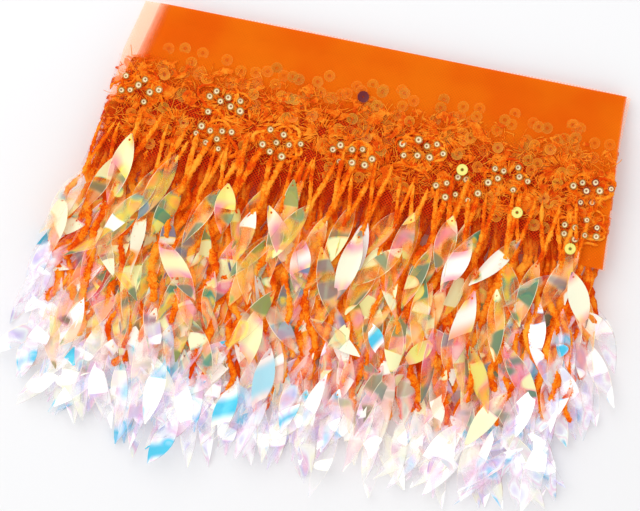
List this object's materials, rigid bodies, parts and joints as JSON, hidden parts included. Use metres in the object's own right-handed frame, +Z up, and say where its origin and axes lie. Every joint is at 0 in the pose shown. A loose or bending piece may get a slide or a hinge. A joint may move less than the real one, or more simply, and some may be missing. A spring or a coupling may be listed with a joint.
{
  "type": "folded sequin tassel trim",
  "caption": "Net trim folded back and forth in a flat stack, with a yarn-worked band and rows of yarn and leaf-shaped tassels fanning out below it.",
  "frame": {"origin": "on the underside of the lowest worked band, in the middle of its length, where the folded trim lies on a table", "axes": "+X along the folded strip, +Y towards the heading edge with the fringe along -Y, +Z up from the table"},
  "size_m": [0.2934, 0.2318, 0.0164],
  "materials": {
    "net": "fine open net, sheer",
    "worked_band": "soft fluffy yarn",
    "tassel": "soft fluffy yarn",
    "paillette": "clear iridescent film",
    "sequin": "glossy cupped film"
  },
  "bodies": {
    "root": {"net": "net", "worked_band": "worked_band", "tassel_row_1": "tassel", "tassel_row_2": "tassel", "tassel_row_3": "tassel", "tassel_row_4": "tassel", "tassel_row_5": "tassel", "tassel_row_6": "tassel"}
  },
  "joints": []
}
